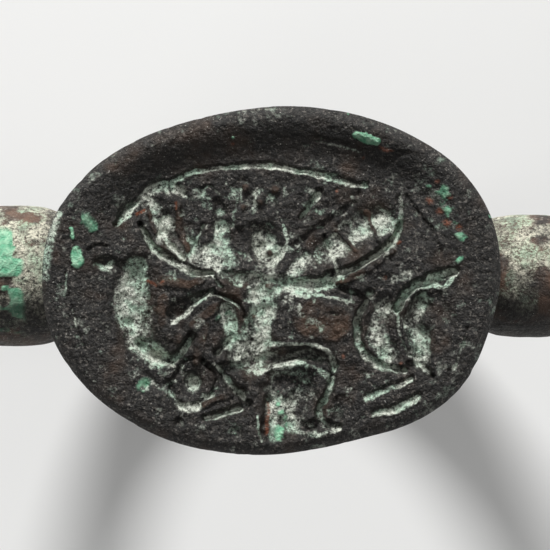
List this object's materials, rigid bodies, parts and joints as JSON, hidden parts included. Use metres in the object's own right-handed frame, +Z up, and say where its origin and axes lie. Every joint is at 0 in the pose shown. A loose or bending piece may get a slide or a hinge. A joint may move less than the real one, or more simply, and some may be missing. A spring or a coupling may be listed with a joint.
{
  "type": "scarab seal ring",
  "caption": "Bronze scarab seal with an engraved oval face, turning on a pin between the ends of a finger ring's hoop.",
  "frame": {"origin": "middle of the worn flat at the back of the hoop, which the ring stands on", "axes": "+X along the swivel pin and the seal's long axis, +Y along the wearer's finger, +Z up through the engraved face"},
  "size_m": [0.026, 0.0134, 0.0272],
  "materials": {
    "seal_bronze": "dark corroded bronze, granular, with pale grey-green deposit in the engraving",
    "scarab_bronze": "dark corroded bronze, worn browner on its high points",
    "hoop_bronze": "corroded bronze under patchy cream, grey and green crust",
    "pin_bronze": "brown bronze, rubbed where it bears",
    "solder": "dull grey solder with pale bloom"
  },
  "bodies": {
    "ring": {"hoop": "hoop_bronze", "swivel_pin": "pin_bronze", "right_pin_washer": "pin_bronze", "left_pin_washer": "pin_bronze"},
    "seal": {"seal_plate": "seal_bronze", "solder_bed": "solder", "scarab_body": "scarab_bronze", "right_bore_bush": "pin_bronze", "left_bore_bush": "pin_bronze"}
  },
  "joints": [
    {"name": "seal_swivel", "type": "hinge", "parent": "ring", "child": "seal", "pos_m": [0, 0, 0.0226], "axis": [1, 0, 0], "continuous": true}
  ]
}
